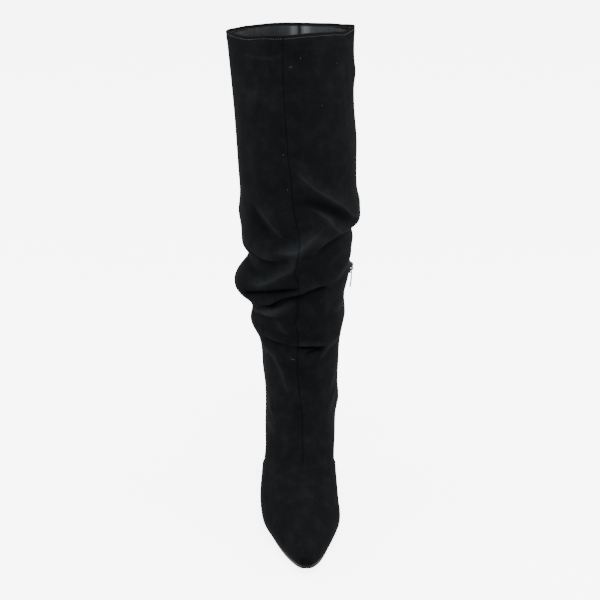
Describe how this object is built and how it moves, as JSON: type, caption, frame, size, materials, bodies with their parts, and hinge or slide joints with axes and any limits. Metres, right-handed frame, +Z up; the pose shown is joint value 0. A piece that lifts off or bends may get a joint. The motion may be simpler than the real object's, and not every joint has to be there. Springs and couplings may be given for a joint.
{
  "type": "tall slouch boot",
  "caption": "Knee-high slouch boot for the right foot, with an almond toe, a covered block heel, a slack folded shaft and an inner side zip.",
  "frame": {"origin": "middle of the boot's own box, on the floor that it stands on", "axes": "+Z up the shaft, -Y towards the toe, +X towards the inner side with the zip"},
  "size_m": [0.1326, 0.2526, 0.4977],
  "materials": {
    "suede": "brushed black suede with a short nap",
    "sock_lining": "smooth dark lining",
    "sole_rubber": "matt moulded rubber",
    "zip_fabric": "woven tape with a dark chain",
    "dark_metal": "glossy black",
    "bright_metal": "polished"
  },
  "bodies": {
    "boot": {"upper": "suede", "insole": "sock_lining", "outsole": "sole_rubber", "heel": "suede", "heel_top_piece": "sole_rubber", "zip_tape": "zip_fabric", "zip_slider": "dark_metal"},
    "pull": {"zip_pull": "bright_metal"}
  },
  "joints": [
    {"name": "pull_swing", "type": "hinge", "parent": "boot", "child": "pull", "pos_m": [0.05975, 0.0625, 0.25065], "axis": [0, -1, 0], "range_deg": [0, 135]}
  ]
}
